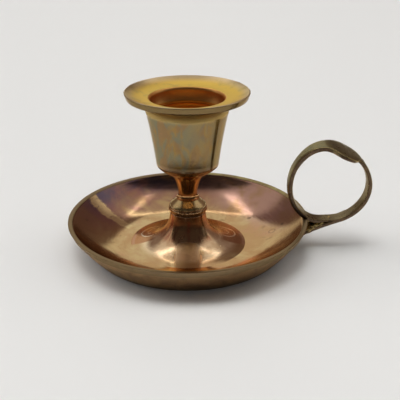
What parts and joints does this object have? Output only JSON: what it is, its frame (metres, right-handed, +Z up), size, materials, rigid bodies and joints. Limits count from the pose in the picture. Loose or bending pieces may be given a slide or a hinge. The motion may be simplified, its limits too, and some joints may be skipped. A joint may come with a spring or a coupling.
{
  "type": "chamberstick",
  "caption": "Small brass chamberstick: dished drip pan, turned stem on a trumpet foot, flanged candle socket and a finger ring with a leaf thumb rest.",
  "frame": {"origin": "on the table under the middle of the overall box; the stick's own axis stands 11.3 mm towards -X of it", "axes": "+X from the stick out through the finger ring, +Z up, +Y to the side"},
  "size_m": [0.1106, 0.088, 0.0595],
  "materials": {
    "pan_brass": "polished brass, tarnished coppery brown inside with faint rainbow bloom, dull olive brown outside",
    "foot_brass": "polished brass, coppery brown tarnish",
    "knop_brass": "polished brass, greenish gold",
    "cup_brass": "polished brass, olive gold with blue-green bloom, turning marks on the flange",
    "fixing_brass": "satin brass, lightly tarnished",
    "strap_brass": "dull grey-olive tarnished brass with brighter worn edges",
    "solder_brass": "lumpy yellow brazing filler with dark pits"
  },
  "bodies": {
    "root": {"drip_pan": "pan_brass", "stem_foot": "foot_brass", "stem_knop": "knop_brass", "candle_cup": "cup_brass", "tie_rod": "fixing_brass", "base_washer": "fixing_brass", "base_nut": "fixing_brass", "ring_strap": "strap_brass", "thumb_strap": "strap_brass", "ring_solder": "solder_brass"}
  },
  "joints": []
}
